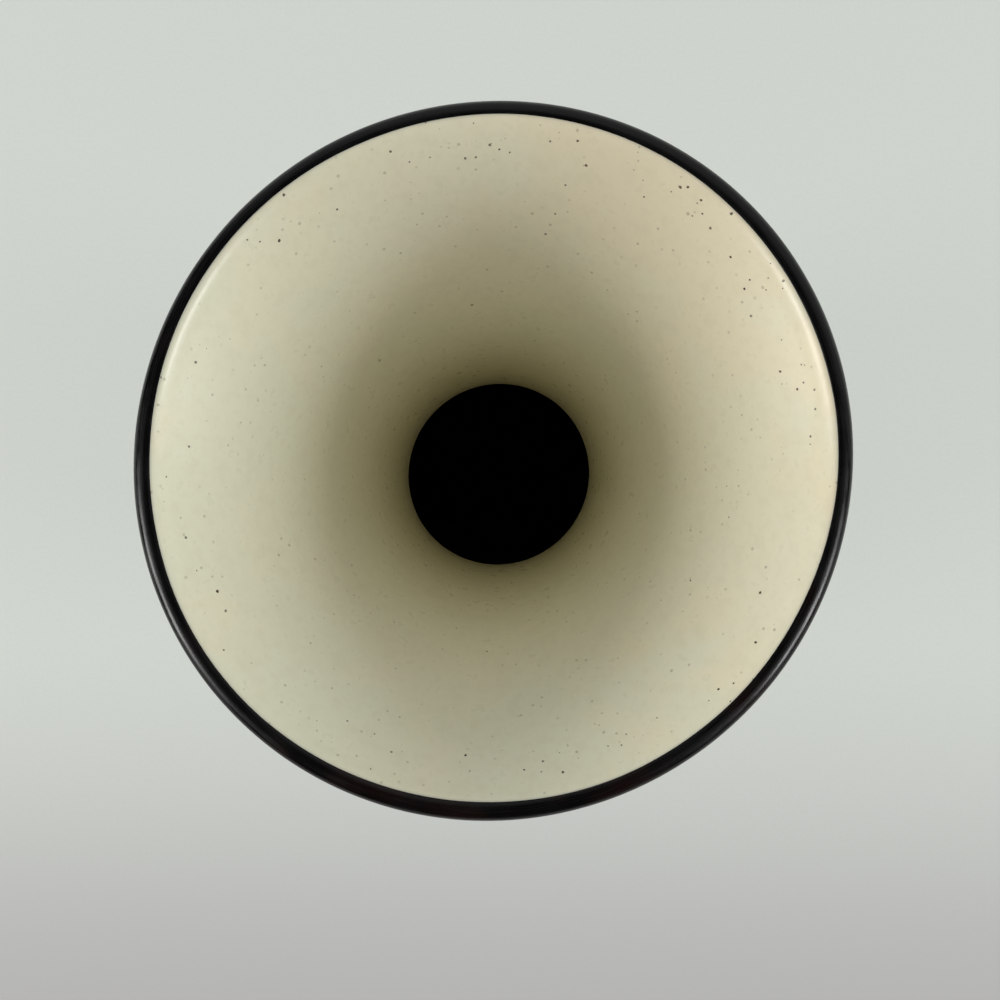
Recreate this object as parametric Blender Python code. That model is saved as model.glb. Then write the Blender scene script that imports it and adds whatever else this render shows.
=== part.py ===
"""Flared ceramic vase, modelled the way such a vase is built.

Three thrown stoneware sections and a turned foot ring are luted together with slip. A black glaze covers
the outside and the lip, a cream glaze lines the flared mouth down past the throat, and a dark glaze lines
the chamber below. Units are metres, +Z is up, and the origin is the centre of the foot on the table.

The wall is drawn as a centre line with a thickness. A place on it is given as a height on the centre line
and a distance across the wall, positive outwards, so every clay section, seam and glaze coat follows the
same curve.
"""

import math
from collections import namedtuple

import bmesh
import bpy

# Overall form, measured over the glaze
HEIGHT = 0.300
MOUTH_RADIUS = 0.080
THROAT_HEIGHT = 0.180
THROAT_BORE_RADIUS = 0.031
BELLY_HEIGHT = 0.084
BELLY_RADIUS = 0.073
BASE_RADIUS = 0.047

# Lean of the wall, as outward run for each unit of rise
MOUTH_FLARE = 0.85
BASE_FLARE = 0.65

# Bend of the wall, as change of lean for each metre of rise
MOUTH_BEND = 9.0
THROAT_BEND = 6.0
BELLY_BEND = -12.5
BASE_BEND = -6.5

# Clay thicknesses
WALL = 0.0055
FLOOR = 0.0080
LIP_RADIUS = 0.0021
FLOOR_FILLET_RISE = 0.0100

# Turned foot ring
FOOT_RADIUS = 0.0440
FOOT_WIDTH = 0.0085
FOOT_HEIGHT = 0.0090
FOOT_CHAMFER = 0.0012

# Stepped seams between the thrown sections, filled with slip
SEAM_LAP = 0.0040
SLIP = 0.0008

# Glaze coats, and the clearance left between any two pieces that touch
GLAZE = 0.0006
CLEARANCE = 0.0003
GLAZE_LINE_RISE = 0.0080
CREAM_BELOW_THROAT = 0.0300
BLACK_EDGE_ANGLE = math.radians(117)

# Fineness of the turned surfaces
SEGMENTS = 40
BOWL_STEPS = 5
SHOULDER_STEPS = 7
MOUTH_STEPS = 7
LIP_STEPS = 4
FILLET_STEPS = 3
SHARP_ANGLE = math.radians(35)
WELD = 1e-6

Station = namedtuple("Station", "height radius flare bend")
Finish = namedtuple("Finish", "color roughness")

CLAY = Finish((0.095, 0.062, 0.045), 0.85)
LUTING_SLIP = Finish((0.130, 0.088, 0.064), 0.90)
BLACK = Finish((0.011, 0.011, 0.012), 0.32)
CREAM = Finish((0.720, 0.675, 0.500), 0.36)
CHAMBER = Finish((0.008, 0.007, 0.007), 0.45)

# Heights and radii that follow from the sizes above
COAT = CLEARANCE + GLAZE
UNDERSIDE = FOOT_HEIGHT + SLIP + 2 * CLEARANCE
FLOOR_TOP = UNDERSIDE + FLOOR
SEAM_HALF_GAP = SLIP / 2 + CLEARANCE
MOUTH_ANGLE = math.atan(MOUTH_FLARE)
BASE_ANGLE = math.atan(BASE_FLARE)

BASE = Station(
    UNDERSIDE + WALL / 2 * math.sin(BASE_ANGLE),
    BASE_RADIUS - COAT - WALL / 2 * math.cos(BASE_ANGLE),
    BASE_FLARE,
    BASE_BEND,
)
BELLY = Station(BELLY_HEIGHT, BELLY_RADIUS - COAT - WALL / 2, 0.0, BELLY_BEND)
THROAT = Station(THROAT_HEIGHT, THROAT_BORE_RADIUS + COAT + WALL / 2, 0.0, THROAT_BEND)
LIP = Station(HEIGHT - LIP_RADIUS - COAT, MOUTH_RADIUS - LIP_RADIUS - COAT, MOUTH_FLARE, MOUTH_BEND)

GLAZE_LINE = BASE.height + GLAZE_LINE_RISE
CREAM_EDGE = THROAT.height - CREAM_BELOW_THROAT


def centre_line(height):
    """Radius and lean of the wall's centre line, whose curves agree in lean and bend at each station."""
    low, high = next(
        (pair for pair in ((BASE, BELLY), (BELLY, THROAT)) if height <= pair[1].height), (THROAT, LIP)
    )
    span = high.height - low.height
    t = (height - low.height) / span
    rise = high.radius - low.radius
    lean_low, lean_high = span * low.flare, span * high.flare
    bend_low, bend_high = span**2 * low.bend, span**2 * high.bend
    terms = (
        low.radius,
        lean_low,
        bend_low / 2,
        10 * rise - 6 * lean_low - 4 * lean_high - (3 * bend_low - bend_high) / 2,
        8 * lean_low + 7 * lean_high - 15 * rise + (3 * bend_low - 2 * bend_high) / 2,
        6 * rise - 3 * (lean_low + lean_high) - (bend_low - bend_high) / 2,
    )
    radius = sum(term * t**k for k, term in enumerate(terms))
    flare = sum(k * term * t ** (k - 1) for k, term in enumerate(terms) if k) / span
    return radius, flare


def half_wall(height):
    """Half the clay's thickness, even up to the throat and then thinning to the lip."""
    share = max(0.0, (height - THROAT.height) / (LIP.height - THROAT.height))
    return WALL / 2 + share * (LIP_RADIUS - WALL / 2)


def wall_point(height, across):
    """The point this far across the wall, square to the centre line at this height."""
    radius, flare = centre_line(height)
    angle = math.atan(flare)
    return radius + across * math.cos(angle), height - across * math.sin(angle)


def outside_point(height, clearance=0.0):
    return wall_point(height, half_wall(height) + clearance)


def inside_point(height, clearance=0.0):
    return wall_point(height, -half_wall(height) - clearance)


def spaced(start, end, steps):
    return [start + (end - start) * k / steps for k in range(steps + 1)]


def seam_ends(station):
    """The heights just below and just above a stepped seam."""
    reach = SEAM_LAP / 2 + SEAM_HALF_GAP
    return station.height - reach, station.height + reach


def wall_heights(start, end):
    """The heights that every surface along the wall passes through, from start to end."""
    belly_low, belly_high = seam_ends(BELLY)
    throat_low, throat_high = seam_ends(THROAT)
    shared = (
        spaced(BASE.height, belly_low, BOWL_STEPS)
        + spaced(belly_high, throat_low, SHOULDER_STEPS)
        + spaced(throat_high, LIP.height, MOUTH_STEPS)
    )
    return [start] + [h for h in shared if start + WELD < h < end - WELD] + [end]


def lip_arc(clearance, start, end):
    """Points round the lip, from one angle to another above the horizontal."""
    reach = LIP_RADIUS + clearance
    return [
        (LIP.radius + reach * math.cos(a), LIP.height + reach * math.sin(a))
        for a in spaced(start, end, LIP_STEPS)
    ]


def lining(clearance, top):
    """The inside of the chamber from the axis, over the floor and its fillet, up to a height."""
    floor = FLOOR_TOP + clearance
    fillet_top = BASE.height + FLOOR_FILLET_RISE
    radius, height = inside_point(fillet_top, clearance)
    flare = centre_line(fillet_top)[1]
    corner = radius - flare * (height - floor)
    floor_edge = corner - math.hypot(radius - corner, height - floor)
    points = [(0.0, floor)]
    for t in spaced(0.0, 1.0, FILLET_STEPS):
        a, b, c = (1 - t) ** 2, 2 * t * (1 - t), t * t
        points.append((a * floor_edge + b * corner + c * radius, (a + b) * floor + c * height))
    return points + [inside_point(h, clearance) for h in wall_heights(fillet_top, top)[1:]]


def seam_top(station):
    """Top edge of the section below a seam, outside to inside: a raised outer half round a sunken seat."""
    low = station.height - SEAM_LAP / 2 - SEAM_HALF_GAP
    high = station.height + SEAM_LAP / 2 - SEAM_HALF_GAP
    return [
        outside_point(high),
        wall_point(high, SEAM_HALF_GAP),
        wall_point(low, SEAM_HALF_GAP),
        inside_point(low),
    ]


def seam_bottom(station):
    """Bottom edge of the section above a seam, inside to outside: a spigot that drops into the seat."""
    low = station.height - SEAM_LAP / 2 + SEAM_HALF_GAP
    high = station.height + SEAM_LAP / 2 + SEAM_HALF_GAP
    return [
        inside_point(low),
        wall_point(low, -SEAM_HALF_GAP),
        wall_point(high, -SEAM_HALF_GAP),
        outside_point(high),
    ]


def foot_ring_outline():
    inner = FOOT_RADIUS - FOOT_WIDTH
    return [
        (inner, FOOT_HEIGHT),
        (inner, FOOT_CHAMFER),
        (inner + FOOT_CHAMFER, 0.0),
        (FOOT_RADIUS - FOOT_CHAMFER, 0.0),
        (FOOT_RADIUS, FOOT_CHAMFER),
        (FOOT_RADIUS, FOOT_HEIGHT),
    ]


def foot_slip_outline():
    low = FOOT_HEIGHT + CLEARANCE
    inner = FOOT_RADIUS - FOOT_WIDTH
    return [(inner, low), (FOOT_RADIUS, low), (FOOT_RADIUS, low + SLIP), (inner, low + SLIP)]


def seam_slip_outline(station):
    low = station.height - SEAM_LAP / 2
    high = station.height + SEAM_LAP / 2
    half = SLIP / 2
    return [
        outside_point(high + half),
        wall_point(high + half, -half),
        wall_point(low + half, -half),
        inside_point(low + half),
        inside_point(low - half),
        wall_point(low - half, half),
        wall_point(high - half, half),
        outside_point(high - half),
    ]


def lower_bowl_outline():
    edge = seam_top(BELLY)
    seam_low = seam_ends(BELLY)[0]
    outside = [outside_point(h) for h in wall_heights(BASE.height, seam_low)]
    return [(0.0, UNDERSIDE)] + outside + edge[:-1] + lining(0.0, seam_low)[::-1]


def shoulder_outline():
    low = seam_ends(BELLY)[1]
    high = seam_ends(THROAT)[0]
    heights = wall_heights(low, high)
    outside = [outside_point(h) for h in heights[1:]]
    inside = [inside_point(h) for h in heights[:-1]]
    return seam_bottom(BELLY) + outside + seam_top(THROAT) + inside[::-1]


def flared_mouth_outline():
    heights = wall_heights(seam_ends(THROAT)[1], LIP.height)
    outside = [outside_point(h) for h in heights[1:-1]]
    inside = [inside_point(h) for h in heights[:-1]]
    lip = lip_arc(0.0, -MOUTH_ANGLE, math.pi - MOUTH_ANGLE)
    return seam_bottom(THROAT) + outside + lip + inside[::-1]


def black_glaze_surface(clearance):
    heights = wall_heights(GLAZE_LINE, LIP.height)
    outside = [outside_point(h, clearance) for h in heights[:-1]]
    return outside + lip_arc(clearance, -MOUTH_ANGLE, BLACK_EDGE_ANGLE)


def cream_glaze_surface(clearance):
    start = BLACK_EDGE_ANGLE + CLEARANCE / LIP_RADIUS
    heights = wall_heights(CREAM_EDGE, LIP.height)
    inside = [inside_point(h, clearance) for h in heights[:-1]]
    return lip_arc(clearance, start, math.pi - MOUTH_ANGLE) + inside[::-1]


def chamber_glaze_surface(clearance):
    return lining(clearance, CREAM_EDGE - CLEARANCE)


def coat_outline(surface):
    """A glaze coat: its face, then its back, which lies a clearance off the clay."""
    return surface(COAT) + surface(CLEARANCE)[::-1]


def make_material(name, finish):
    material = bpy.data.materials.new(name)
    material.use_nodes = True
    shader = material.node_tree.nodes["Principled BSDF"]
    shader.inputs["Base Color"].default_value = (*finish.color, 1.0)
    shader.inputs["Roughness"].default_value = finish.roughness
    shader.inputs["Metallic"].default_value = 0.0
    return material


def turn(name, outline, finish):
    """Spins an outline of (radius, height) points about Z. One that starts on the axis ends on it too."""
    mesh = bpy.data.meshes.new(name)
    shape = bmesh.new()
    points = [shape.verts.new((radius, 0.0, height)) for radius, height in outline]
    pairs = list(zip(points, points[1:]))
    if outline[0][0] > 0.0:
        pairs.append((points[-1], points[0]))
    edges = [shape.edges.new(pair) for pair in pairs]
    bmesh.ops.spin(
        shape, geom=points + edges, axis=(0, 0, 1), cent=(0, 0, 0), angle=math.tau, steps=SEGMENTS, use_merge=True
    )
    bmesh.ops.remove_doubles(shape, verts=shape.verts, dist=WELD)
    bmesh.ops.recalc_face_normals(shape, faces=shape.faces)
    shape.to_mesh(mesh)
    shape.free()
    mesh.shade_smooth()
    mesh.set_sharp_from_angle(angle=SHARP_ANGLE)
    mesh.materials.append(make_material(name, finish))
    piece = bpy.data.objects.new(name, mesh)
    bpy.context.scene.collection.objects.link(piece)
    return piece


def build():
    for leftover in list(bpy.data.objects):
        bpy.data.objects.remove(leftover)
    turn("foot_ring", foot_ring_outline(), CLAY)
    turn("foot_luting_slip", foot_slip_outline(), LUTING_SLIP)
    turn("lower_bowl", lower_bowl_outline(), CLAY)
    turn("belly_luting_slip", seam_slip_outline(BELLY), LUTING_SLIP)
    turn("shoulder", shoulder_outline(), CLAY)
    turn("throat_luting_slip", seam_slip_outline(THROAT), LUTING_SLIP)
    turn("flared_mouth", flared_mouth_outline(), CLAY)
    turn("black_outer_glaze", coat_outline(black_glaze_surface), BLACK)
    turn("cream_mouth_glaze", coat_outline(cream_glaze_surface), CREAM)
    turn("chamber_glaze", coat_outline(chamber_glaze_surface), CHAMBER)


build()
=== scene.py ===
"""Looks for the flared ceramic vase: smooth glazed surfaces, procedural glaze and clay, light and camera."""

import math
from typing import NamedTuple

import bpy
from mathutils import Matrix, Vector, noise


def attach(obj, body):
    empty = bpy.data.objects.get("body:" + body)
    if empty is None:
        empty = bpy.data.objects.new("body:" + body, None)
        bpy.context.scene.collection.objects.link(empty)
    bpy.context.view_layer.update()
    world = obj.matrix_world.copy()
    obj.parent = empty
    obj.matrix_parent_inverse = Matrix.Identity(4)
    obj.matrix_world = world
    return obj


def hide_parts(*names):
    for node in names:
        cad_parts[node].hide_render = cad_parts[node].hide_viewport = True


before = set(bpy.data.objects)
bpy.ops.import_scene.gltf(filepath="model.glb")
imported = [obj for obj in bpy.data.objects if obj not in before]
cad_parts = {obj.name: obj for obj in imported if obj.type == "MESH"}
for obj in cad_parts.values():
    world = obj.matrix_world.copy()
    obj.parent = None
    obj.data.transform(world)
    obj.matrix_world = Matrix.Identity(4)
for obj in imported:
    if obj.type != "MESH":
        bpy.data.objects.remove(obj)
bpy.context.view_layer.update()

# Form of the solids, in metres. Flare is radius gained with height, and bend is flare gained with height.
HEIGHT = 0.300
MOUTH_RADIUS = 0.080
THROAT_HEIGHT = 0.180
THROAT_BORE_RADIUS = 0.031
BELLY_HEIGHT = 0.084
BELLY_RADIUS = 0.073
BASE_RADIUS = 0.047
MOUTH_FLARE = 0.85
BASE_FLARE = 0.65
MOUTH_BEND = 9.0
THROAT_BEND = 6.0
BELLY_BEND = -12.5
BASE_BEND = -6.5
WALL = 0.0055
FLOOR = 0.0080
LIP_RADIUS = 0.0021
FLOOR_FILLET_RISE = 0.0100
FOOT_RADIUS = 0.0440
FOOT_WIDTH = 0.0085
FOOT_HEIGHT = 0.0090
FOOT_ROUND = 0.0014
FOOT_TOP_ROUND = 0.0006
SLIP = 0.0008
GLAZE = 0.0006
CLEARANCE = 0.0003
GLAZE_LINE_RISE = 0.0080
CREAM_BELOW_THROAT = 0.0300
SEAM_REACH = 0.0027

# The mouth's slight oval: its share, its heading, and the heights where it starts and is full
OVAL = 0.0094
OVAL_AXIS = math.radians(46)
OVAL_START = 0.100
OVAL_FULL = 0.180

# A value that drifts round the vase: radius of its circle through a noise, and its broad and fine parts
WANDER_RADIUS = 2.2
WANDER_BROAD = 1.4
WANDER_FINE = 0.5
WANDER_FINE_SCALE = 2.7

# Throwing rings: pitch, depth, drift of their phase, how fast that changes with height, and how they fade
RING_PITCH = 0.0085
RING_DEPTH = 0.00010
RING_DRIFT = 1.5
RING_DRIFT_RATE = 30
RING_FADE_LOW = 12
RING_FADE_HIGH = 8
INNER_RING_PITCH = 0.0060
INNER_RING_DEPTH = 0.00003
INNER_RING_DRIFT = 2
INNER_RING_DRIFT_RATE = 25
INNER_RING_FADE = 0.01

# The brushed edge of the black on the lip. A wave has a count round the lip, a swing and a crest in degrees.
EDGE_ANGLE = math.radians(114.9)
EDGE_WANDER = math.radians(1.6)
EDGE_SEED = 3.1
EDGE_WAVES = ((1, 9.4, 271), (2, 2.9, 60), (3, 1.3, 50), (5, 2.7, 39))
EDGE_LIMIT = math.radians(175)
BLACK_OVER_CREAM = 0.00010
TIP_DROP = 0.4
TIP_LENGTH = 0.3

# The cream next to the black: where it starts under it, and its soft bend from the lip to the wall
UNDER_BLACK_ANGLE = math.radians(92)
UNDER_BLACK_GAP = 0.00002
CREAM_TUCK = 0.02
SOFT_LIP_ANGLE = math.radians(108)
SOFT_LIP_DEPTH = 0.0028

# The black's lower line above the foot, wavy and with a rolled edge
GLAZE_LINE_WANDER = 0.0016
GLAZE_LINE_SEED = 7.7
GLAZE_ROLL = 0.00025
GLAZE_ROLL_WIDTH = 0.0022
GLAZE_ROLL_RISE = 0.8
GLAZE_LINE_LEVEL = 0.55

# The bead of slip that is squeezed out at the foot
BEAD = 0.0005
BEAD_WANDER = 0.0004
BEAD_SEED = 5.3
BEAD_SHOULDER = 0.7
BEAD_SHOULDER_RISE = 0.15
BEAD_START = 0.001

# Angles in an outline, where zero points away from the axis
UP = math.radians(90)
INWARD = math.radians(180)
DOWN = math.radians(270)
FULL_TURN = math.radians(360)

# Fineness of the meshes
SEGMENTS = 256
HIDDEN_SEGMENTS = 96
SPACING = 0.0020
CHAMBER_SPACING = 2 * SPACING
HIDDEN_SPACING = 0.0080
ARC_STEPS = 22
HIDDEN_ARC_STEPS = 8
CREAM_LIP_STEPS = 4
FILLET_STEPS = 6
HIDDEN_FILLET_STEPS = 4
FOOT_ROUND_STEPS = 6
FOOT_TOP_STEPS = 3
BARE_BAND = 0.014
UNDERSIDE_ROWS = (0.012, 0.024, 0.034, 0.041)
SHARP_ANGLE = math.radians(50)

# Map for baked looks
BAKE_MAP = "OFBake"
BAKE_MIDDLE = 0.5
BAKE_MARGIN = 0.005
HIDDEN_STRIP_SHARE = 0.06
LEAST_STRIP = 1e-6

# Worked out from the values above
COAT = CLEARANCE + GLAZE
UNDERSIDE = FOOT_HEIGHT + SLIP + 2 * CLEARANCE
FLOOR_TOP = UNDERSIDE + FLOOR
FOOT_BORE = FOOT_RADIUS - FOOT_WIDTH
MOUTH_ANGLE = math.atan(MOUTH_FLARE)
INNER_LIP_ANGLE = math.pi - MOUTH_ANGLE
BASE_ANGLE = math.atan(BASE_FLARE)
CREAM_LEVEL = COAT - BLACK_OVER_CREAM - UNDER_BLACK_GAP
CREAM_START_ANGLE = UNDER_BLACK_ANGLE + CREAM_TUCK


class Station(NamedTuple):
    """A place that the wall's centre line goes through."""

    height: float
    radius: float
    flare: float
    bend: float


BASE = Station(
    UNDERSIDE + WALL / 2 * math.sin(BASE_ANGLE),
    BASE_RADIUS - COAT - WALL / 2 * math.cos(BASE_ANGLE),
    BASE_FLARE,
    BASE_BEND,
)
BELLY = Station(BELLY_HEIGHT, BELLY_RADIUS - COAT - WALL / 2, 0.0, BELLY_BEND)
THROAT = Station(THROAT_HEIGHT, THROAT_BORE_RADIUS + COAT + WALL / 2, 0.0, THROAT_BEND)
LIP = Station(HEIGHT - LIP_RADIUS - COAT, MOUTH_RADIUS - LIP_RADIUS - COAT, MOUTH_FLARE, MOUTH_BEND)
GLAZE_LINE = BASE.height + GLAZE_LINE_RISE
SOFT_LIP_LOW = LIP.height - SOFT_LIP_DEPTH
CREAM_EDGE = THROAT_HEIGHT - CREAM_BELOW_THROAT


def stations(height):
    """The two stations that a height lies between."""
    if height <= BELLY.height:
        return BASE, BELLY
    if height <= THROAT.height:
        return BELLY, THROAT
    return THROAT, LIP


def centre_line(height):
    """Radius and flare of the wall's centre line: a quintic that keeps each station's flare and bend."""
    low, high = stations(height)
    span = high.height - low.height
    t = (height - low.height) / span
    rise = high.radius - low.radius
    flare_low = span * low.flare
    flare_high = span * high.flare
    bend_low = span**2 * low.bend
    bend_high = span**2 * high.bend
    terms = (
        low.radius,
        flare_low,
        bend_low / 2,
        10 * rise - 6 * flare_low - 4 * flare_high - (3 * bend_low - bend_high) / 2,
        8 * flare_low + 7 * flare_high - 15 * rise + (3 * bend_low - 2 * bend_high) / 2,
        6 * rise - 3 * (flare_low + flare_high) - (bend_low - bend_high) / 2,
    )
    radius = sum(term * t**k for k, term in enumerate(terms))
    flare = sum(k * term * t ** (k - 1) for k, term in enumerate(terms) if k) / span
    return radius, flare


def half_wall(height):
    share = max(0.0, (height - THROAT.height) / (LIP.height - THROAT.height))
    return WALL / 2 + share * (LIP_RADIUS - WALL / 2)


def wall_point(height, across):
    """A point square to the centre line from a height on it, outwards by a distance."""
    radius, flare = centre_line(height)
    angle = math.atan(flare)
    return radius + across * math.cos(angle), height - across * math.sin(angle)


def outside_point(height, clearance=0.0):
    return wall_point(height, half_wall(height) + clearance)


def inside_point(height, clearance=0.0):
    return wall_point(height, -half_wall(height) - clearance)


def spaced(start, end, steps):
    return [start + (end - start) * k / steps for k in range(steps + 1)]


def heights(start, end, spacing):
    return spaced(start, end, max(1, round(abs(end - start) / spacing)))


def arc(centre, radius, start, end, steps):
    angles = spaced(start, end, steps)
    return [(centre[0] + radius * math.cos(a), centre[1] + radius * math.sin(a)) for a in angles]


def lip_arc(clearance, start, end, steps):
    return arc((LIP.radius, LIP.height), LIP_RADIUS + clearance, start, end, steps)


def lining(clearance, top, spacing, steps):
    """The inside of the chamber from the axis, over the floor and its fillet, up to a height."""
    floor = FLOOR_TOP + clearance
    fillet_top = BASE.height + FLOOR_FILLET_RISE
    radius, height = inside_point(fillet_top, clearance)
    corner = radius - centre_line(fillet_top)[1] * (height - floor)
    floor_edge = corner - math.hypot(radius - corner, height - floor)
    points = [(0.0, floor)]
    for t in spaced(0.0, 1.0, steps):
        a, b, c = (1 - t) ** 2, 2 * t * (1 - t), t * t
        points.append((a * floor_edge + b * corner + c * radius, (a + b) * floor + c * height))
    return points + [inside_point(h, clearance) for h in heights(fillet_top, top, spacing)[1:]]


def wander(azimuth, seed):
    """A smooth value from about -1 to 1 that drifts round the vase and closes on itself."""
    place = Vector((WANDER_RADIUS * math.cos(azimuth), WANDER_RADIUS * math.sin(azimuth), seed))
    return WANDER_BROAD * noise.noise(place) + WANDER_FINE * noise.noise(WANDER_FINE_SCALE * place)


def ring_wave(height, pitch, azimuth, drift, rate):
    """Throwing rings up the wall: they climb one pitch in a turn, and their phase drifts."""
    return math.sin(math.tau * (height / pitch) + azimuth + drift * wander(azimuth, height * rate))


def black_edge(azimuth):
    """Angle round the lip at which the brushed black glaze ends."""
    angle = EDGE_ANGLE + EDGE_WANDER * wander(azimuth, EDGE_SEED)
    for count, swing, crest in EDGE_WAVES:
        angle += math.radians(swing) * math.cos(count * (azimuth - math.radians(crest)))
    return angle


def glaze_line(azimuth):
    """Height at which the black glaze ends above the foot."""
    return GLAZE_LINE + GLAZE_LINE_WANDER * wander(azimuth, GLAZE_LINE_SEED)


def oval(radius, height, azimuth):
    """The mouth is a little out of round, the body is not."""
    t = min(1.0, max(0.0, (height - OVAL_START) / (OVAL_FULL - OVAL_START)))
    return radius * (1 + OVAL * t * t * (3 - 2 * t) * math.cos(2 * (azimuth - OVAL_AXIS)))


def black_face(azimuth):
    """What shows of the black coat: up the outside, over the lip and down to its feathered tip."""
    line = glaze_line(azimuth)
    face = []
    for h in heights(GLAZE_LINE, LIP.height, SPACING)[:-1]:
        share = (h - GLAZE_LINE) / (LIP.height - GLAZE_LINE)
        place = line + (LIP.height - line) * share
        fade = min(1.0, share * RING_FADE_LOW, (1 - share) * RING_FADE_HIGH)
        ring = RING_DEPTH * fade * ring_wave(place, RING_PITCH, azimuth, RING_DRIFT, RING_DRIFT_RATE)
        roll = GLAZE_ROLL * math.exp(-(((place - line) / GLAZE_ROLL_WIDTH - GLAZE_ROLL_RISE) ** 2))
        face.append(outside_point(place, COAT + ring + roll))
    end = black_edge(azimuth)
    feather = BLACK_OVER_CREAM / LIP_RADIUS
    over_lip = lip_arc(COAT, -MOUTH_ANGLE, end - feather, ARC_STEPS)
    tip = lip_arc(COAT - BLACK_OVER_CREAM * TIP_DROP, end - feather * TIP_LENGTH, end, 1)
    return face + over_lip + tip


def black_loop(azimuth):
    """Outline of the black coat: its face, then under the tip, and back down behind."""
    line = glaze_line(azimuth)
    under = lip_arc(COAT - BLACK_OVER_CREAM, black_edge(azimuth), UNDER_BLACK_ANGLE, HIDDEN_ARC_STEPS)
    behind = lip_arc(CLEARANCE, UNDER_BLACK_ANGLE, -MOUTH_ANGLE, HIDDEN_ARC_STEPS)
    back_steps = round((LIP.height - GLAZE_LINE) / HIDDEN_SPACING)
    back = [outside_point(h, CLEARANCE) for h in spaced(LIP.height, line, back_steps)[1:]]
    lower = [outside_point(line, COAT * GLAZE_LINE_LEVEL)]
    return black_face(azimuth) + under + behind + back + lower


def soft_bend(level):
    """The cream's bend from the lip to the wall: a cubic curve that leaves both along their own lines."""
    start = Vector(lip_arc(level, SOFT_LIP_ANGLE, SOFT_LIP_ANGLE, 1)[0])
    end = Vector(inside_point(SOFT_LIP_LOW, level))
    reach = (end - start).length / 3
    near_start = start + reach * Vector((-math.sin(SOFT_LIP_ANGLE), math.cos(SOFT_LIP_ANGLE)))
    near_end = end + reach * Vector((centre_line(SOFT_LIP_LOW)[1], 1.0)).normalized()
    return [
        tuple((1 - t) ** 3 * start + 3 * t * (1 - t) * ((1 - t) * near_start + t * near_end) + t**3 * end)
        for t in spaced(0.0, 1.0, ARC_STEPS)
    ]


def cream_face(azimuth):
    """What shows of the cream coat: from under the black, round the soft bend, and down past the throat."""
    face = lip_arc(CREAM_LEVEL, CREAM_START_ANGLE, SOFT_LIP_ANGLE, CREAM_LIP_STEPS)[:-1]
    face += soft_bend(CREAM_LEVEL)
    for h in heights(SOFT_LIP_LOW, CREAM_EDGE, SPACING)[1:]:
        wave = ring_wave(h, INNER_RING_PITCH, azimuth, INNER_RING_DRIFT, INNER_RING_DRIFT_RATE)
        fade = min(1.0, (SOFT_LIP_LOW - h) / INNER_RING_FADE)
        face.append(inside_point(h, CREAM_LEVEL + INNER_RING_DEPTH * wave * fade))
    return face


def cream_loop(azimuth):
    """Outline of the cream coat: its face, and back up behind."""
    back = [inside_point(h, CLEARANCE) for h in heights(CREAM_EDGE, LIP.height, HIDDEN_SPACING)]
    lip = lip_arc(CLEARANCE, INNER_LIP_ANGLE, CREAM_START_ANGLE, HIDDEN_ARC_STEPS)[1:]
    return cream_face(azimuth) + back + lip


def all_round(outline):
    """An outline that is the same at every azimuth."""
    return lambda azimuth: outline


def chamber_outline():
    top = CREAM_EDGE - CLEARANCE
    back = lining(CLEARANCE, top, HIDDEN_SPACING, HIDDEN_FILLET_STEPS)[::-1]
    return lining(COAT, top, CHAMBER_SPACING, FILLET_STEPS) + back


def bowl_outline():
    """Outline of the lower bowl: underside, outside up to the seam, and the hidden inside."""
    seam = BELLY_HEIGHT - SEAM_REACH
    bare_top = BASE.height + BARE_BAND
    underside = [(0.0, UNDERSIDE)] + [(radius, UNDERSIDE) for radius in UNDERSIDE_ROWS]
    outside = [outside_point(h) for h in heights(BASE.height, bare_top, SPACING)]
    outside += [outside_point(h) for h in heights(bare_top, seam, HIDDEN_SPACING)[1:]]
    return underside + outside + lining(0.0, seam, HIDDEN_SPACING, HIDDEN_FILLET_STEPS)[::-1]


def mouth_outline():
    rows = heights(THROAT_HEIGHT + SEAM_REACH, LIP.height, HIDDEN_SPACING)
    lip = lip_arc(0.0, -MOUTH_ANGLE, INNER_LIP_ANGLE, HIDDEN_ARC_STEPS)
    return [outside_point(h) for h in rows[:-1]] + lip + [inside_point(h) for h in rows[-2::-1]]


def foot_outline():
    """Outline of the foot ring: down the bore, round its two lower edges, and up to the rounded top."""
    top_centre = (FOOT_RADIUS - FOOT_TOP_ROUND, FOOT_HEIGHT - FOOT_TOP_ROUND)
    return (
        [(FOOT_BORE, FOOT_HEIGHT - FOOT_TOP_ROUND), (FOOT_BORE, FOOT_HEIGHT / 2)]
        + arc((FOOT_BORE + FOOT_ROUND, FOOT_ROUND), FOOT_ROUND, INWARD, DOWN, FOOT_ROUND_STEPS)
        + [(FOOT_RADIUS - FOOT_WIDTH / 2, 0.0)]
        + arc((FOOT_RADIUS - FOOT_ROUND, FOOT_ROUND), FOOT_ROUND, DOWN, FULL_TURN, FOOT_ROUND_STEPS)
        + [(FOOT_RADIUS, FOOT_HEIGHT / 2)]
        + arc(top_centre, FOOT_TOP_ROUND, 0.0, UP, FOOT_TOP_STEPS)
        + [(FOOT_BORE + FOOT_TOP_ROUND, FOOT_HEIGHT)]
    )


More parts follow.
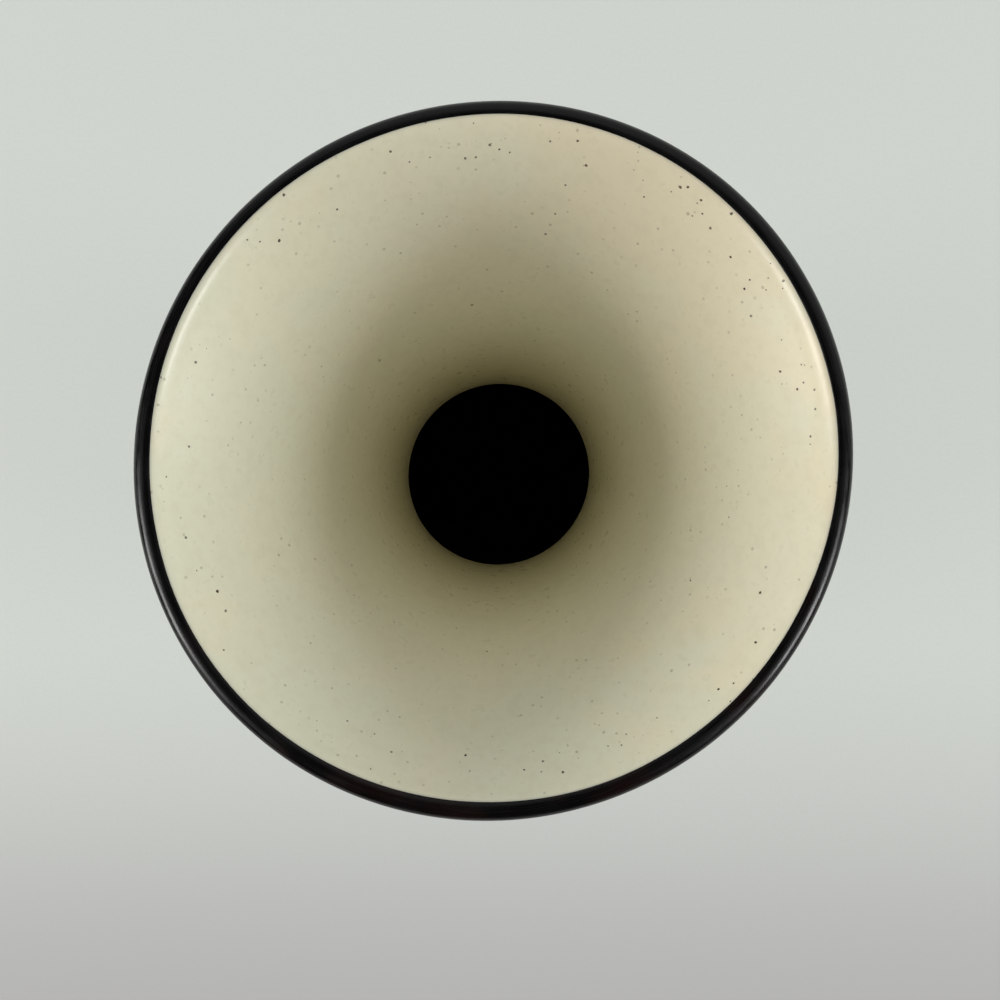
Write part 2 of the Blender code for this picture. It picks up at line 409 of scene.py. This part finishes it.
def foot_slip_loop(azimuth):
    """The luting slip, squeezed out a little beyond the foot ring."""
    low = FOOT_HEIGHT + CLEARANCE
    squeeze = BEAD + BEAD_WANDER * wander(azimuth, BEAD_SEED)
    shoulder = FOOT_RADIUS + squeeze * BEAD_SHOULDER
    return [
        (FOOT_BORE, low),
        (FOOT_RADIUS - BEAD_START, low),
        (shoulder, low + SLIP * BEAD_SHOULDER_RISE),
        (FOOT_RADIUS + squeeze, low + SLIP / 2),
        (shoulder, low + SLIP * (1 - BEAD_SHOULDER_RISE)),
        (FOOT_RADIUS - BEAD_START, low + SLIP),
        (FOOT_BORE, low + SLIP),
        (FOOT_BORE - squeeze, low + SLIP / 2),
    ]


def strip_ends(loop, shown):
    """Where each strip round the loop starts and ends on the bake map, 0 to 1, wide for the shown ones."""
    widths = []
    for k, point in enumerate(loop):
        share = 1.0 if k < shown else HIDDEN_STRIP_SHARE
        widths.append(math.dist(point, loop[(k + 1) % len(loop)]) * share + LEAST_STRIP)
    total = sum(widths)
    ends = [0.0]
    for width in widths:
        ends.append(ends[-1] + width / total)
    return ends


def bake_place(along, turn, polar):
    """A place on the bake map, which is laid out in bands or, where polar, in rings round the middle."""
    if polar:
        reach = (BAKE_MIDDLE - BAKE_MARGIN) * (1.0 - along)
        angle = math.tau * turn
        return BAKE_MIDDLE + reach * math.cos(angle), BAKE_MIDDLE + reach * math.sin(angle)
    span = 1.0 - 2 * BAKE_MARGIN
    return BAKE_MARGIN + span * turn, BAKE_MARGIN + span * along


def turned_points(loops):
    """Points of a turned piece by rings, and each ring's point numbers. A ring on the axis is one pole."""
    segments = len(loops)
    verts = []
    rings = []
    for k, (first_radius, first_height) in enumerate(loops[0]):
        if first_radius == 0.0:
            rings.append([len(verts)] * segments)
            verts.append((0.0, 0.0, first_height))
            continue
        rings.append(list(range(len(verts), len(verts) + segments)))
        for j, loop in enumerate(loops):
            azimuth = math.tau * j / segments
            radius = oval(*loop[k], azimuth)
            verts.append((radius * math.cos(azimuth), radius * math.sin(azimuth), loop[k][1]))
    return verts, rings


def turned_faces(rings, ends, closed, polar):
    """Faces between neighbouring rings, and the place of each face corner on the bake map."""
    segments = len(rings[0])
    faces = []
    places = []
    for k in range(len(rings) if closed else len(rings) - 1):
        ring, following = rings[k], rings[(k + 1) % len(rings)]
        for j in range(segments):
            after = (j + 1) % segments
            corners = [
                (ring[j], ends[k], j / segments),
                (ring[after], ends[k], (j + 1) / segments),
                (following[after], ends[k + 1], (j + 1) / segments),
                (following[j], ends[k + 1], j / segments),
            ]
            kept = [c for n, c in enumerate(corners) if c[0] != corners[n - 1][0]]
            faces.append([c[0] for c in kept])
            places += [bake_place(c[1], c[2], polar) for c in kept]
    return faces, places


def turned(name, loop_at, segments, material, shown=None, polar=False, edge=None):
    """A closed turned piece whose outline may drift with azimuth. An outline on the axis gets poles there."""
    loops = [loop_at(math.tau * k / segments) for k in range(segments)]
    outline = loops[0]
    closed = outline[0][0] != 0.0
    ends = strip_ends(outline, len(outline) if shown is None else shown)
    verts, rings = turned_points(loops)
    faces, places = turned_faces(rings, ends, closed, polar)
    mesh = bpy.data.meshes.new(name)
    mesh.from_pydata(verts, [], faces)
    bake = mesh.uv_layers.new(name=BAKE_MAP)
    for corner, place in zip(bake.data, places):
        corner.uv = place
    if edge:
        values = mesh.attributes.new("edge_distance", "FLOAT", "POINT")
        for vert, value in zip(mesh.vertices, values.data):
            value.value = edge(vert.co)
    mesh.validate()
    mesh.shade_smooth()
    mesh.set_sharp_from_angle(angle=SHARP_ANGLE)
    mesh.materials.append(material)
    piece = bpy.data.objects.new(name, mesh)
    bpy.context.scene.collection.objects.link(piece)
    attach(piece, "root")
    return piece


def past_black_edge(place):
    """Distance of a point of the cream coat past the edge of the black, measured round the lip."""
    azimuth = math.atan2(place.y, place.x)
    radius = math.hypot(place.x, place.y) / oval(1.0, place.z, azimuth)
    angle = math.atan2(place.z - LIP.height, radius - LIP.radius) % math.tau
    return (LIP_RADIUS + COAT) * (min(angle, EDGE_LIMIT) - black_edge(azimuth))


class Cloud(NamedTuple):
    """Soft noise: how many patches for each metre, how many finer levels it has and how strong those are."""

    scale: float
    detail: float = 2.0
    rough: float = 0.5


class Ramp(NamedTuple):
    """A smooth change from one value to another while the input goes from low to high."""

    low: float
    high: float
    to_low: float = 0.0
    to_high: float = 1.0


class Specks(NamedTuple):
    """A cell's size, the least and greatest radius of a speck in it, its soft edge and least strength."""

    cell: float
    smallest: float
    largest: float
    soft: float = 0.05
    weakest: float = 0.55


class Turning(NamedTuple):
    """Marks left by turning: how fast they change round the vase, and how fast across it for each metre."""

    around: float
    across: float


class Relief(NamedTuple):
    """A bump: its height in metres, and how strongly it shows."""

    distance: float
    strength: float


# Sockets of a mix node, which share their names
MIX_SHARE = 0
MIX_VALUE_A = 2
MIX_VALUE_B = 3
MIX_COLOR_A = 6
MIX_COLOR_B = 7
MIX_COLOR_RESULT = 2

# Middle of what a noise gives in each of its three parts
NOISE_MIDDLE = (0.5, 0.5, 0.5)


class Tree:
    """A short way to write the nodes of a material or of the world."""

    def __init__(self, owner, shader="Principled BSDF"):
        owner.use_nodes = True
        self.owner = owner
        self.nodes = owner.node_tree.nodes
        self.links = owner.node_tree.links
        self.shader = self.nodes[shader]

    def set(self, socket, value):
        if isinstance(value, bpy.types.NodeSocket):
            self.links.new(value, socket)
        elif isinstance(value, tuple) and len(value) == 3 and socket.type == "RGBA":
            socket.default_value = (*value, 1.0)
        else:
            socket.default_value = value

    def add(self, kind, inputs, out=0, **settings):
        made = self.nodes.new(kind)
        for key, value in settings.items():
            setattr(made, key, value)
        for key, value in inputs.items():
            self.set(made.inputs[key], value)
        return made.outputs[out]

    def finish(self, **inputs):
        for key, value in inputs.items():
            self.set(self.shader.inputs[key.replace("_", " ")], value)
        return self.owner

    def place(self):
        return self.add("ShaderNodeTexCoord", {}, "Object")

    def part(self, vector, axis):
        return self.add("ShaderNodeSeparateXYZ", {0: vector}, axis)

    def vector(self, operation, inputs, out=0):
        return self.add("ShaderNodeVectorMath", inputs, out, operation=operation)

    def math(self, operation, a, b):
        return self.add("ShaderNodeMath", {0: a, 1: b}, operation=operation)

    def noise(self, vector, cloud, out=0):
        inputs = {"Vector": vector, "Scale": cloud.scale, "Detail": cloud.detail, "Roughness": cloud.rough}
        return self.add("ShaderNodeTexNoise", inputs, out)

    def ramp(self, value, ramp):
        inputs = {"Value": value, "From Min": ramp.low, "From Max": ramp.high}
        inputs.update({"To Min": ramp.to_low, "To Max": ramp.to_high})
        return self.add("ShaderNodeMapRange", inputs, interpolation_type="SMOOTHSTEP")

    def mix(self, share, a, b):
        inputs = {MIX_SHARE: share, MIX_COLOR_A: a, MIX_COLOR_B: b}
        return self.add("ShaderNodeMix", inputs, MIX_COLOR_RESULT, data_type="RGBA")

    def mix_values(self, share, a, b):
        return self.add("ShaderNodeMix", {MIX_SHARE: share, MIX_VALUE_A: a, MIX_VALUE_B: b})

    def bump(self, height, relief, normal=None):
        inputs = {"Height": height, "Distance": relief.distance, "Strength": relief.strength}
        if normal is not None:
            inputs["Normal"] = normal
        return self.add("ShaderNodeBump", inputs, "Normal")

    def toward(self, place, heading):
        """How far a point lies to one side of the vase's axis, in metres."""
        return self.vector("DOT_PRODUCT", {0: place, 1: (math.cos(heading), math.sin(heading), 0.0)}, "Value")

    def round_the_vase(self, place, turning):
        """Coordinates that run slowly round the vase and fast across it, for marks left by turning."""
        flat = self.vector("MULTIPLY", {0: place, 1: (1.0, 1.0, 0.0)})
        heading = self.vector("NORMALIZE", {0: flat})
        slow = self.vector("SCALE", {0: heading, "Scale": turning.around})
        reach = self.vector("LENGTH", {0: flat}, "Value")
        across = self.math("MULTIPLY", self.math("ADD", self.part(place, "Z"), reach), turning.across)
        return self.vector("ADD", {0: slow, 1: self.add("ShaderNodeCombineXYZ", {"Z": across})})

    def ragged(self, place, cloud, reach):
        """The same coordinates pushed about a little, so that round marks get uneven outlines."""
        push = self.vector("SUBTRACT", {0: self.noise(place, cloud, "Color"), 1: NOISE_MIDDLE})
        return self.vector("ADD", {0: place, 1: self.vector("SCALE", {0: push, "Scale": reach})})

    def specks(self, place, specks, share):
        """Some cells hold a speck, of its own size and strength. Gives how much of a speck is here."""
        cells = self.nodes.new("ShaderNodeTexVoronoi")
        self.set(cells.inputs["Vector"], place)
        self.set(cells.inputs["Scale"], 1.0 / specks.cell)
        chance = self.nodes.new("ShaderNodeSeparateColor")
        self.links.new(cells.outputs["Color"], chance.inputs[0])
        sizes = Ramp(0.0, 1.0, specks.smallest / specks.cell, specks.largest / specks.cell)
        size = self.ramp(chance.outputs[1], sizes)
        body = self.ramp(self.math("SUBTRACT", size, cells.outputs["Distance"]), Ramp(0.0, specks.soft))
        taken = self.math("LESS_THAN", chance.outputs[0], share)
        strength = self.ramp(chance.outputs[2], Ramp(0.0, 1.0, specks.weakest, 1.0))
        return self.math("MULTIPLY", self.math("MULTIPLY", body, taken), strength)


TURNING_MARKS = Cloud(scale=1.0)

# Cream glaze: warm and cool patches, painted yellower shade towards the throat, mottled, and a painted grey
# shade next to the black
CREAM = (0.708, 0.680, 0.512)
CREAM_WARM = (0.735, 0.662, 0.482)
CREAM_COOL = (0.682, 0.684, 0.525)
CREAM_SHADE = (0.560, 0.520, 0.360)
CREAM_PAINTED_DEEP_SHADE = (0.720, 0.658, 0.395)
CREAM_PAINTED_EDGE_SHADE = (0.300, 0.300, 0.300)
WARM_PATCHES = Cloud(scale=26.0, detail=4.0, rough=0.6)
COOL_PATCHES = Cloud(scale=30.0, detail=4.0, rough=0.6)
PATCH_SHARE = Ramp(low=0.46, high=0.68, to_high=0.90)
NOISE_SHIFT = (0.31, 0.17, 0.05)
PAINTED_DEEP_SHADE_SHARE = Ramp(low=0.195, high=0.292, to_low=0.95, to_high=0.0)
MOTTLE = Cloud(scale=300.0, detail=4.0, rough=0.65)
MOTTLE_SHARE = Ramp(low=0.42, high=0.72, to_high=0.20)
MOTTLE_RELIEF = Relief(distance=0.00002, strength=0.4)
INNER_TURNING = Turning(around=0.5, across=420.0)
INNER_TURNING_RELIEF = Relief(distance=0.00002, strength=0.4)
PAINTED_EDGE_SHADE_SHARE = Ramp(low=0.0, high=0.0007, to_low=0.35, to_high=0.0)
CREAM_ROUGHNESS = Ramp(low=0.3, high=0.7, to_low=0.27, to_high=0.32)
CREAM_GLOSS = 0.33
# The cream is warmer on one side and cooler on the opposite one: its heading, and the drift for each metre
WARM_SIDE = math.radians(40)
WARM_DRIFT = 2.2

# Iron specks in the cream: dark ones crowd near the lip and on one side, faint ones thin out downwards
SPECK = (0.046, 0.028, 0.010)
FAINT_SPECK = (0.300, 0.270, 0.180)
CROWDS = Cloud(scale=60.0, detail=1.0)
DARK_SPECKS = Specks(cell=0.0021, smallest=0.00018, largest=0.00038, soft=0.02, weakest=0.80)
DARK_CROWDING = Ramp(low=0.42, high=0.62, to_low=0.15, to_high=1.6)
DARK_NEAR_LIP = Ramp(low=0.2885, high=0.2935, to_low=0.03)
DARK_ON_ONE_SIDE = Ramp(low=-0.035, high=0.020, to_low=0.20)
DARK_OUTLINES = Cloud(scale=1600.0, detail=1.0)
DARK_OUTLINE_REACH = 0.00030
FAINT_SPECKS = Specks(cell=0.0019, smallest=0.00018, largest=0.00050, soft=0.12, weakest=0.40)
FAINT_CROWDING = Ramp(low=0.36, high=0.66, to_low=0.19, to_high=0.68)
FAINT_ABOVE_THROAT = Ramp(low=0.238, high=0.288, to_low=0.12)
FAINT_OUTLINES = Cloud(scale=900.0, detail=1.0)
FAINT_OUTLINE_REACH = 0.00025
FAINT_STRENGTH = 0.62


def cream_body(tree, place, shifted, height):
    """The cream's colour in broad patches, with a painted yellower shade towards the throat."""
    drift = tree.math("MULTIPLY", tree.toward(place, WARM_SIDE), WARM_DRIFT)
    warm = tree.ramp(tree.math("ADD", tree.noise(place, WARM_PATCHES), drift), PATCH_SHARE)
    cool = tree.ramp(tree.math("SUBTRACT", tree.noise(shifted, COOL_PATCHES), drift), PATCH_SHARE)
    color = tree.mix(cool, tree.mix(warm, CREAM, CREAM_WARM), CREAM_COOL)
    # Painted shade: the cream turns yellower and a little darker towards the throat
    return tree.mix(tree.ramp(height, PAINTED_DEEP_SHADE_SHARE), color, CREAM_PAINTED_DEEP_SHADE)


def with_specks(tree, place, shifted, height, color):
    """A colour with the dark and the faint specks on it."""
    crowd = tree.noise(place, CROWDS)
    dark_share = tree.math("MULTIPLY", tree.ramp(crowd, DARK_CROWDING), tree.ramp(height, DARK_NEAR_LIP))
    dark_share = tree.math("MULTIPLY", dark_share, tree.ramp(tree.part(place, "X"), DARK_ON_ONE_SIDE))
    dark = tree.specks(tree.ragged(place, DARK_OUTLINES, DARK_OUTLINE_REACH), DARK_SPECKS, dark_share)
    above_throat = tree.ramp(height, FAINT_ABOVE_THROAT)
    faint_share = tree.math("MULTIPLY", tree.ramp(crowd, FAINT_CROWDING), above_throat)
    faint = tree.specks(tree.ragged(shifted, FAINT_OUTLINES, FAINT_OUTLINE_REACH), FAINT_SPECKS, faint_share)
    color = tree.mix(tree.math("MULTIPLY", faint, FAINT_STRENGTH), color, FAINT_SPECK)
    return tree.mix(dark, color, SPECK)


def cream_material():
    tree = Tree(bpy.data.materials.new("cream_glaze_speckled"))
    place = tree.place()
    shifted = tree.vector("ADD", {0: place, 1: NOISE_SHIFT})
    height = tree.part(place, "Z")
    mottle = tree.noise(place, MOTTLE)
    edge = tree.add("ShaderNodeAttribute", {}, "Fac", attribute_name="edge_distance")
    color = cream_body(tree, place, shifted, height)
    color = tree.mix(tree.ramp(mottle, MOTTLE_SHARE), color, CREAM_SHADE)
    color = with_specks(tree, place, shifted, height, color)
    # Painted shade: a grey band on the cream along the black's edge
    color = tree.mix(tree.ramp(edge, PAINTED_EDGE_SHADE_SHARE), color, CREAM_PAINTED_EDGE_SHADE)
    rough = tree.ramp(mottle, CREAM_ROUGHNESS)
    marks = tree.noise(tree.round_the_vase(place, INNER_TURNING), TURNING_MARKS)
    normal = tree.bump(mottle, MOTTLE_RELIEF, tree.bump(marks, INNER_TURNING_RELIEF))
    return tree.finish(Base_Color=color, Roughness=rough, Normal=normal, Specular_IOR_Level=CREAM_GLOSS)


# Black glaze: satin, with rust, pale flecks and fine hairs left by turning
BLACK = (0.0024, 0.0025, 0.0025)
BLACK_RUST = (0.0090, 0.0030, 0.0024)
RUST_PATCHES = Cloud(scale=60.0, detail=3.0, rough=0.6)
RUST_SHARE = Ramp(low=0.52, high=0.74, to_high=0.8)
FLECK = (0.150, 0.140, 0.130)
FLECKS = Specks(cell=0.0042, smallest=0.00008, largest=0.00020)
FLECK_SHARE = 0.10
FLECK_STRENGTH = 0.6
HAIR_TURNING = Turning(around=6.0, across=5200.0)
HAIRS = Cloud(scale=1.0, detail=3.0, rough=0.65)
HAIR_ROUGHNESS = Ramp(low=0.34, high=0.66, to_low=0.20, to_high=0.36)
HAIR_RELIEF = Relief(distance=0.00003, strength=0.5)
SATIN_PATCHES = Cloud(scale=90.0, detail=3.0)
SATIN_ROUGHNESS = Ramp(low=0.3, high=0.7, to_low=-0.05, to_high=0.06)
BLACK_GRAIN = Cloud(scale=900.0, detail=3.0, rough=0.6)
BLACK_GRAIN_RELIEF = Relief(distance=0.00003, strength=0.4)
BLACK_GLOSS = 0.35
# The black is rustier on one side: its heading, and the drift for each metre
RUST_SIDE = math.radians(270)
RUST_DRIFT = 1.6


def black_material():
    tree = Tree(bpy.data.materials.new("black_glaze_satin"))
    place = tree.place()
    drift = tree.math("MULTIPLY", tree.toward(place, RUST_SIDE), RUST_DRIFT)
    rust = tree.ramp(tree.math("ADD", tree.noise(place, RUST_PATCHES), drift), RUST_SHARE)
    color = tree.mix(rust, BLACK, BLACK_RUST)
    flecks = tree.specks(place, FLECKS, FLECK_SHARE)
    color = tree.mix(tree.math("MULTIPLY", flecks, FLECK_STRENGTH), color, FLECK)
    hairs = tree.noise(tree.round_the_vase(place, HAIR_TURNING), HAIRS)
    satin = tree.ramp(tree.noise(place, SATIN_PATCHES), SATIN_ROUGHNESS)
    rough = tree.math("ADD", tree.ramp(hairs, HAIR_ROUGHNESS), satin)
    grain = tree.noise(place, BLACK_GRAIN)
    normal = tree.bump(grain, BLACK_GRAIN_RELIEF, tree.bump(hairs, HAIR_RELIEF))
    return tree.finish(Base_Color=color, Roughness=rough, Normal=normal, Specular_IOR_Level=BLACK_GLOSS)


# Bare clay and slip: cloudy, with pale grog, grain and turning marks
CLAY_DARK = (0.060, 0.038, 0.028)
CLAY_LIGHT = (0.130, 0.086, 0.060)
SLIP_COLOR = (0.120, 0.082, 0.060)
GROG = (0.240, 0.190, 0.150)
CLAY_PATCHES = Cloud(scale=75.0, detail=5.0, rough=0.65)
CLAY_SHARE = Ramp(low=0.35, high=0.68)
GROG_SPECKS = Specks(cell=0.0018, smallest=0.00010, largest=0.00030)
GROG_SHARE = 0.30
CLAY_GRAIN = Cloud(scale=1500.0, detail=4.0, rough=0.7)
CLAY_GRAIN_RELIEF = Relief(distance=0.00008, strength=0.7)
CLAY_TURNING = Turning(around=1.2, across=900.0)
CLAY_TURNING_RELIEF = Relief(distance=0.00012, strength=0.6)
CLAY_ROUGHNESS = Ramp(low=0.3, high=0.7, to_low=0.74, to_high=0.92)


def clay_material(name, dark, light):
    tree = Tree(bpy.data.materials.new(name))
    place = tree.place()
    color = tree.mix(tree.ramp(tree.noise(place, CLAY_PATCHES), CLAY_SHARE), dark, light)
    color = tree.mix(tree.specks(place, GROG_SPECKS, GROG_SHARE), color, GROG)
    grain = tree.noise(place, CLAY_GRAIN)
    marks = tree.noise(tree.round_the_vase(place, CLAY_TURNING), TURNING_MARKS)
    normal = tree.bump(grain, CLAY_GRAIN_RELIEF, tree.bump(marks, CLAY_TURNING_RELIEF))
    return tree.finish(Base_Color=color, Roughness=tree.ramp(grain, CLAY_ROUGHNESS), Normal=normal)


# Dark glaze inside the chamber
CHAMBER = (0.0032, 0.0030, 0.0029)
CHAMBER_BROWN = (0.0060, 0.0040, 0.0032)
CHAMBER_PATCHES = Cloud(scale=70.0, detail=4.0, rough=0.6)
CHAMBER_SHARE = Ramp(low=0.42, high=0.70)
CHAMBER_ROUGHNESS = Ramp(low=0.3, high=0.7, to_low=0.42, to_high=0.55)
CHAMBER_GRAIN = Cloud(scale=500.0, detail=3.0)
CHAMBER_RELIEF = Relief(distance=0.00004, strength=0.5)
CHAMBER_GLOSS = 0.10


def chamber_material():
    tree = Tree(bpy.data.materials.new("chamber_glaze_dark"))
    place = tree.place()
    patches = tree.noise(place, CHAMBER_PATCHES)
    color = tree.mix(tree.ramp(patches, CHAMBER_SHARE), CHAMBER, CHAMBER_BROWN)
    rough = tree.ramp(patches, CHAMBER_ROUGHNESS)
    normal = tree.bump(tree.noise(place, CHAMBER_GRAIN), CHAMBER_RELIEF)
    return tree.finish(Base_Color=color, Roughness=rough, Normal=normal, Specular_IOR_Level=CHAMBER_GLOSS)


def dress_vase():
    """Seven pieces take the place of their solids. Three hidden solids stay and get clay or slip."""
    clay = clay_material("stoneware_bare", CLAY_DARK, CLAY_LIGHT)
    slip = clay_material("luting_slip_bare", SLIP_COLOR, CLAY_LIGHT)
    cream = turned(
        "cream_mouth_coat",
        cream_loop,
        SEGMENTS,
        cream_material(),
        shown=len(cream_face(0.0)),
        polar=True,
        edge=past_black_edge,
    )
    black = turned("black_outer_coat", black_loop, SEGMENTS, black_material(), shown=len(black_face(0.0)))
    chamber = turned("chamber_coat", all_round(chamber_outline()), HIDDEN_SEGMENTS, chamber_material())
    bowl = turned("bowl_clay", all_round(bowl_outline()), SEGMENTS, clay)
    mouth = turned("mouth_clay", all_round(mouth_outline()), HIDDEN_SEGMENTS, clay)
    foot = turned("foot_ring_clay", all_round(foot_outline()), SEGMENTS, clay)
    bead = turned("foot_slip_bead", foot_slip_loop, SEGMENTS, slip)
    for piece, node, slot in (
        (cream, "cream_mouth_glaze", "cream_glaze"),
        (black, "black_outer_glaze", "black_glaze"),
        (chamber, "chamber_glaze", "chamber_glaze"),
        (bowl, "lower_bowl", "stoneware"),
        (mouth, "flared_mouth", "stoneware"),
        (foot, "foot_ring", "stoneware"),
        (bead, "foot_luting_slip", "luting_slip"),
    ):
        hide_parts(node)
    for node, material in (("shoulder", clay), ("belly_luting_slip", slip), ("throat_luting_slip", slip)):
        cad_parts[node].data.materials.clear()
        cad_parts[node].data.materials.append(material)


# The pale floor under the vase: half its side, its drop below the foot, and its tone from near to far, with
# painted shade on the near side
STAGE_HALF = 4.0
STAGE_DROP = 0.0002
STAGE_NEAR_PAINTED_SHADE = (0.480, 0.476, 0.471)
STAGE_FAR = (0.668, 0.700, 0.655)
STAGE_PAINTED_SHADE_RAMP = Ramp(low=-0.301, high=-0.073)
STAGE_GRAIN = Cloud(scale=600.0)
STAGE_GRAIN_COLOR = (0.400, 0.400, 0.400)
STAGE_GRAIN_SHARE = Ramp(low=0.3, high=0.7, to_high=0.05)
STAGE_ROUGHNESS = 0.9
STAGE_GLOSS = 0.0
STAGE_OWN_LIGHT = 0.65


def floor_material():
    """Pale floor: partly its own light for what sees it directly, and partly lit, to keep the shadow."""
    tree = Tree(bpy.data.materials.new("pale_floor"))
    place = tree.place()
    # Painted shade: the floor darkens towards the near side
    color = tree.mix(tree.ramp(tree.part(place, "Y"), STAGE_PAINTED_SHADE_RAMP), STAGE_NEAR_PAINTED_SHADE, STAGE_FAR)
    color = tree.mix(tree.ramp(tree.noise(place, STAGE_GRAIN), STAGE_GRAIN_SHARE), color, STAGE_GRAIN_COLOR)
    tree.finish(Base_Color=color, Roughness=STAGE_ROUGHNESS, Specular_IOR_Level=STAGE_GLOSS)
    own_light = tree.add("ShaderNodeEmission", {"Color": color})
    path = tree.nodes.new("ShaderNodeLightPath")
    seen = tree.math("MAXIMUM", path.outputs["Is Camera Ray"], path.outputs["Is Glossy Ray"])
    seen = tree.math("MAXIMUM", seen, path.outputs["Is Transmission Ray"])
    share = tree.math("MULTIPLY", seen, STAGE_OWN_LIGHT)
    blend = tree.add("ShaderNodeMixShader", {0: share, 1: tree.shader.outputs[0], 2: own_light})
    tree.links.new(blend, tree.nodes["Material Output"].inputs["Surface"])
    return tree.owner


def make_floor():
    half = STAGE_HALF
    corners = [(-half, -half, 0), (half, -half, 0), (half, half, 0), (-half, half, 0)]
    mesh = bpy.data.meshes.new("floor")
    mesh.from_pydata(corners, [], [(0, 1, 2, 3)])
    mesh.materials.append(floor_material())
    floor = bpy.data.objects.new("floor", mesh)
    floor.location.z = -STAGE_DROP
    bpy.context.scene.collection.objects.link(floor)


# The sky is brighter on its far side than on the near one. What is mirrored sees light on the far side only.
SKY_COLOR = (1.0, 1.0, 1.0)
SKY_SIDE = math.radians(72)
SKY_STRENGTH = 0.53
SKY_TILT = 0.09
MIRRORED_SKY = Ramp(low=0.2, high=0.6, to_high=0.42)


def make_sky():
    sky = Tree(bpy.data.worlds.new("soft_sky"), "Background")
    side = sky.toward(sky.add("ShaderNodeTexCoord", {}, "Generated"), SKY_SIDE)
    soft = sky.add("ShaderNodeMath", {0: side, 1: SKY_TILT, 2: SKY_STRENGTH}, operation="MULTIPLY_ADD")
    glossy = sky.add("ShaderNodeLightPath", {}, "Is Glossy Ray")
    strength = sky.mix_values(glossy, soft, sky.ramp(side, MIRRORED_SKY))
    bpy.context.scene.world = sky.finish(Color=SKY_COLOR, Strength=strength)


class Lamp(NamedTuple):
    """A lamp: direction in degrees, size in metres, power in watts, and whether gloss alone shows it."""

    name: str
    azimuth: float
    elevation: float
    width: float
    tall: float
    power: float
    color: tuple
    gloss_only: bool


# Lamps stand at one distance from a point in the mouth. Fills give soft light only, the others gloss only.
LIGHT_AIM = Vector((0.0, 0.0, 0.28))
LIGHT_DISTANCE = 1.6
LIGHT_SPREAD = math.radians(90)
LIGHTS = (
    Lamp("fill_left", 191, 11.5, 0.60, 0.60, 3.95, (1.0, 0.985, 0.960), gloss_only=False),
    Lamp("fill_right", 349, 12, 0.60, 0.60, 3.70, (0.985, 1.0, 1.0), gloss_only=False),
    Lamp("fill_far", 152, 3, 0.60, 0.50, 1.09, (1.0, 1.0, 1.0), gloss_only=False),
    Lamp("gleam_left", 199, 26, 0.80, 0.60, 3.80, (1.0, 0.990, 0.970), gloss_only=True),
    Lamp("gleam_right", 336, 30, 0.60, 0.50, 3.09, (0.990, 1.0, 1.0), gloss_only=True),
    Lamp("glow_left", 190, 52, 0.60, 0.50, 0.14, (1.0, 1.0, 1.0), gloss_only=True),
    Lamp("glow_right", 328, 54, 0.60, 0.50, 0.15, (1.0, 1.0, 1.0), gloss_only=True),
)


def make_light(lamp):
    swing = Matrix.Rotation(math.radians(lamp.azimuth), 3, "Z")
    lift = Matrix.Rotation(math.radians(-lamp.elevation), 3, "Y")
    away = swing @ lift @ Vector((1.0, 0.0, 0.0))
    light = bpy.data.lights.new(lamp.name, "AREA")
    light.shape = "RECTANGLE"
    light.size = lamp.width
    light.size_y = lamp.tall
    light.energy = lamp.power
    light.color = lamp.color
    light.spread = LIGHT_SPREAD
    holder = bpy.data.objects.new(lamp.name, light)
    holder.location = LIGHT_AIM + LIGHT_DISTANCE * away
    holder.rotation_mode = "QUATERNION"
    holder.rotation_quaternion = (-away).to_track_quat("-Z", "Y")
    holder.visible_camera = False
    holder.visible_glossy = lamp.gloss_only
    holder.visible_diffuse = not lamp.gloss_only
    bpy.context.scene.collection.objects.link(holder)


# The camera looks straight down. The pixel where plumb lines meet is a little off the frame's middle.
FRAME_PIXELS = 1000
LENS_PIXELS = 1001
PLUMB_PIXEL = (510.2, 497.1)
MOUTH_PIXEL = (491.9, 460.9)
CAMERA_ABOVE_LIP = 0.2200
SENSOR = 36.0
CLIP_START = 0.01


def make_camera():
    lens = bpy.data.cameras.new("camera")
    lens.sensor_fit = "HORIZONTAL"
    lens.sensor_width = SENSOR
    lens.lens = SENSOR * LENS_PIXELS / FRAME_PIXELS
    lens.clip_start = CLIP_START
    middle = FRAME_PIXELS / 2
    plumb = Vector(((PLUMB_PIXEL[0] - middle) / LENS_PIXELS, (middle - PLUMB_PIXEL[1]) / LENS_PIXELS, -1.0))
    tilt = plumb.rotation_difference(Vector((0.0, 0.0, -1.0))).to_matrix().to_4x4()
    place = (
        (PLUMB_PIXEL[0] - MOUTH_PIXEL[0]) / LENS_PIXELS * CAMERA_ABOVE_LIP,
        (MOUTH_PIXEL[1] - PLUMB_PIXEL[1]) / LENS_PIXELS * CAMERA_ABOVE_LIP,
        HEIGHT + CAMERA_ABOVE_LIP,
    )
    camera = bpy.data.objects.new("camera", lens)
    camera.matrix_world = Matrix.Translation(place) @ tilt
    bpy.context.scene.collection.objects.link(camera)
    bpy.context.scene.camera = camera


dress_vase()
make_floor()
make_sky()
for lamp in LIGHTS:
    make_light(lamp)
make_camera()
bpy.context.scene.view_settings.view_transform = "Standard"
